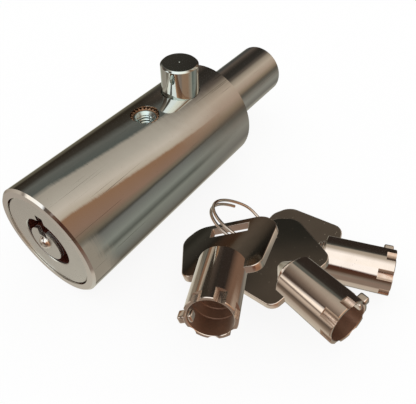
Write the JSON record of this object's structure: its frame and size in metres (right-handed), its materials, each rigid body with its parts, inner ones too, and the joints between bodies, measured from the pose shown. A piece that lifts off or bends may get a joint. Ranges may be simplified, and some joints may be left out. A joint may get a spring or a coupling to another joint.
{
  "type": "shutter pin lock",
  "caption": "Cylindrical shutter lock with an axial pin keyway, a side bolt drawn in by the key, a threaded side insert, a rear nose pin and tubular keys on a split ring.",
  "frame": {"origin": "on the barrel's axis, where its full diameter starts behind the front chamfer", "axes": "-Y out of the lock's face, +Y towards the nose pin, +Z along the side bolt, outwards"},
  "size_m": [0.062, 0.07, 0.0276],
  "materials": {
    "chrome": "polished",
    "satin": "satin",
    "polished": "polished",
    "brass": "machined",
    "spring": "drawn",
    "zinc": "cast",
    "steel": "ground",
    "copper": "plated",
    "nickel": "nickel plated"
  },
  "bodies": {
    "lock_body": {"barrel": "chrome", "nose_pin": "chrome", "lock_housing": "satin", "stator": "zinc", "stator_pin": "steel", "driver_pins": "brass", "pin_springs": "spring", "threaded_insert": "copper"},
    "rotor_set": {"rotor": "satin", "centre_ball": "polished", "cam": "zinc", "cam_pin": "steel", "key_pin_1": "brass", "key_pin_2": "brass", "key_pin_3": "brass", "key_pin_4": "brass", "key_pin_5": "brass", "key_pin_6": "brass", "key_pin_7": "brass"},
    "bolt": {"side_bolt": "chrome", "follower_pin": "steel"},
    "ring": {"split_ring": "spring"},
    "key_1": {"key_1_head": "nickel", "key_1_tube": "nickel"},
    "key_2": {"key_2_head": "nickel", "key_2_tube": "nickel"},
    "key_3": {"key_3_head": "nickel", "key_3_tube": "nickel"}
  },
  "joints": [
    {"name": "rotor_turn", "type": "hinge", "parent": "lock_body", "child": "rotor_set", "pos_m": [0, 0, 0], "axis": [0, 1, 0], "range_deg": [0, 180]},
    {"name": "bolt_slide", "type": "slide", "parent": "lock_body", "child": "bolt", "axis": [0, 0, -1], "range_m": [0, 0.0057]},
    {"name": "bunch_lift", "type": "slide", "parent": "lock_body", "child": "ring", "axis": [0, 0, 1], "range_m": [0, 0.03]},
    {"name": "key_1_swing", "type": "hinge", "parent": "ring", "child": "key_1", "pos_m": [0.0225, 0.0279, -0.00636], "axis": [0.1721, 0.5027, 0.8471], "range_deg": [-15, 4]},
    {"name": "key_2_swing", "type": "hinge", "parent": "ring", "child": "key_2", "pos_m": [0.0225, 0.0279, -0.00636], "axis": [0.1721, 0.5027, 0.8471], "range_deg": [-5, 1.5]},
    {"name": "key_3_swing", "type": "hinge", "parent": "ring", "child": "key_3", "pos_m": [0.0225, 0.0279, -0.00636], "axis": [0, 0, 1], "range_deg": [0, 12]}
  ],
  "couplings": [
    {"joint": "bolt_slide", "follows": "rotor_turn", "m_per_rad": 0.0018144}
  ]
}
